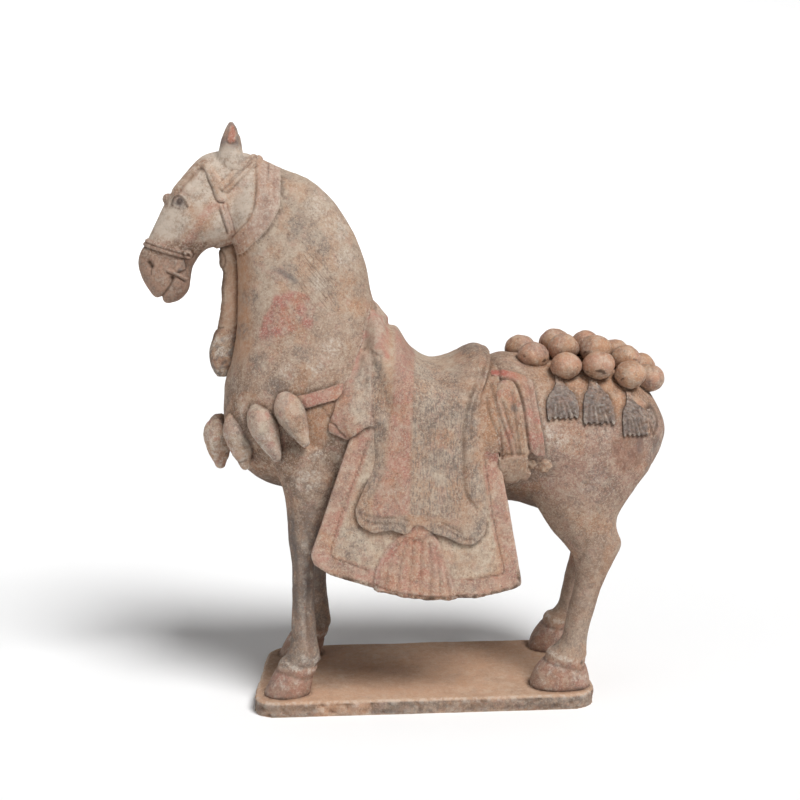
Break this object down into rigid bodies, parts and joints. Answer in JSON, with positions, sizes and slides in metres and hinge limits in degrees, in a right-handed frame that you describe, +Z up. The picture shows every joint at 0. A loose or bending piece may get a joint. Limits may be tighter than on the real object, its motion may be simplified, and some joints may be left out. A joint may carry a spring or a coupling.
{
  "type": "pottery horse",
  "caption": "Standing caparisoned pottery horse with draped saddle, mud flaps, harness balls, tassels and chest pendants, fixed on a thin rectangular slab.",
  "frame": {"origin": "centre of the slab's underside, on the surface that the horse stands on", "axes": "+Z up; the horse faces -Y; its left side, the one pictured, is +X"},
  "size_m": [0.1899, 0.517, 0.5696],
  "materials": {
    "horse": "matt fired earthenware with worn slip, faded pink, grey and ochre pigment and earth deposits",
    "base_slab": "matt bare earthenware, dirty and chipped along its edges"
  },
  "bodies": {
    "root": {"base_slab": "base_slab", "horse": "horse"}
  },
  "joints": []
}
